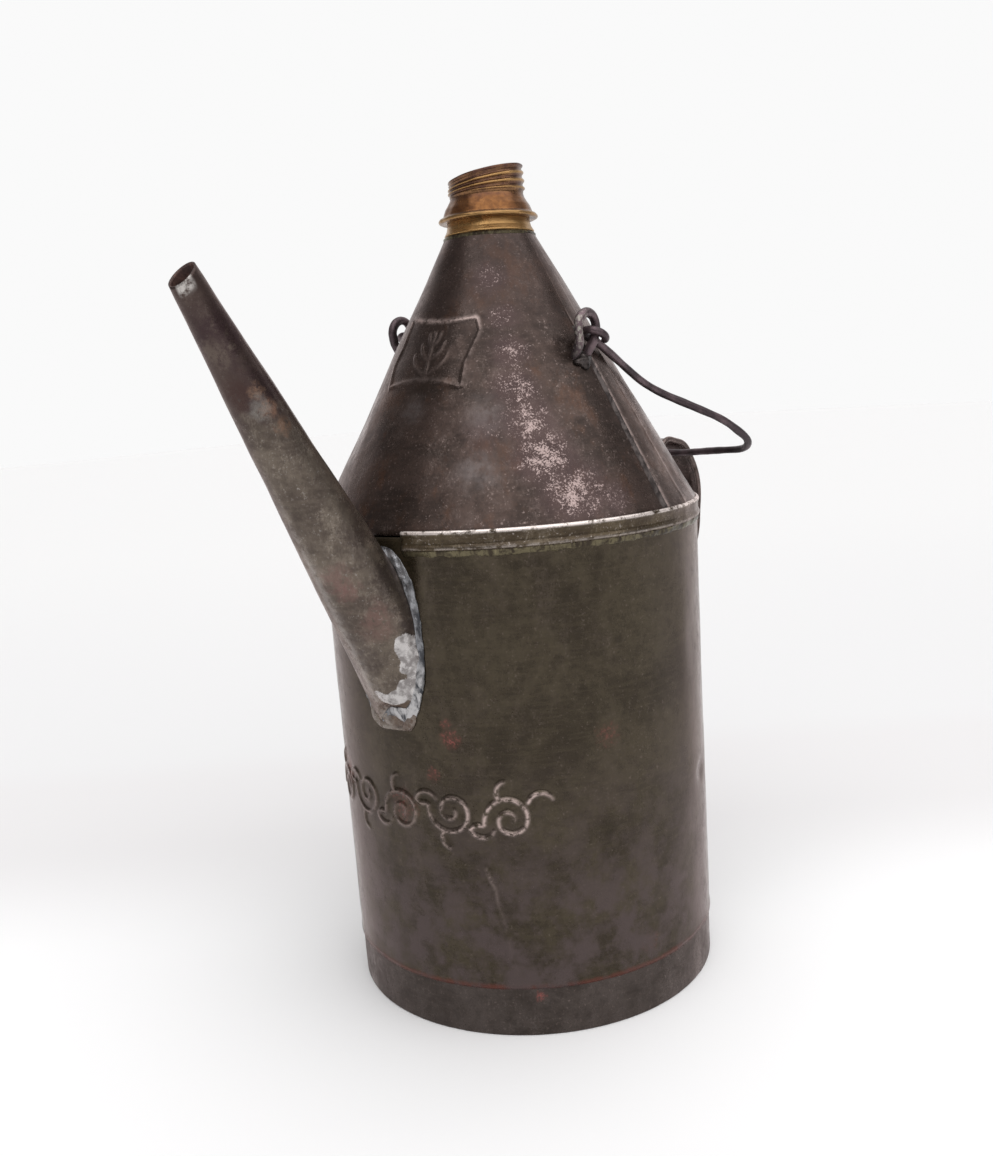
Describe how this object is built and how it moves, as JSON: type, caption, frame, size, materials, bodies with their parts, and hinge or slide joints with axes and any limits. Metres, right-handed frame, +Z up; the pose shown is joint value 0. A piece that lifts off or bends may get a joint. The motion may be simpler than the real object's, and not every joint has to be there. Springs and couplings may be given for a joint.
{
  "type": "oil can",
  "caption": "Tinned sheet oil can with a cone top, threaded brass filler neck, long tapered spout, strap handle and a swinging wire bail.",
  "frame": {"origin": "centre of the foot ring, on the plane the can stands on", "axes": "+Z up along the body's axis, the spout points towards -Y, the strap handle is at +Y, the ears are at -X and +X"},
  "size_m": [0.1662, 0.3024, 0.3474],
  "materials": {
    "aged_tin_body": "dark oxidised tinplate, satin",
    "aged_tin_cone": "dark oxidised tinplate, worn and speckled",
    "aged_tin_band": "oxidised tinplate with a worn bright edge",
    "aged_tin_spout": "dark oxidised tinplate, satin",
    "aged_tin_handle": "dark oxidised tinplate",
    "brass": "tarnished, bright on the raised edges",
    "solder": "dull grey, smeared",
    "black_wire": "blackened iron wire, satin"
  },
  "bodies": {
    "can": {"body_shell": "aged_tin_body", "foot_band": "aged_tin_body", "foot_solder": "solder", "bottom_disc": "aged_tin_body", "bottom_solder": "solder", "cone_front": "aged_tin_cone", "cone_rear": "aged_tin_cone", "cone_seam_solder": "solder", "shoulder_band": "aged_tin_band", "shoulder_solder": "solder", "neck_ring": "brass", "neck_solder": "solder", "filler_collar": "brass", "spout_tube": "aged_tin_spout", "spout_solder": "solder", "ear_left": "black_wire", "ear_right": "black_wire", "ear_solder_left": "solder", "ear_solder_right": "solder", "rear_handle": "aged_tin_handle", "handle_solder_top": "solder", "handle_solder_bottom": "solder"},
    "bail": {"bail_handle": "black_wire"}
  },
  "joints": [
    {"name": "bail_swing", "type": "hinge", "parent": "can", "child": "bail", "pos_m": [0, -0.005, 0.2803], "axis": [0.9983, 0, -0.0576], "range_deg": [0, 215]}
  ]
}
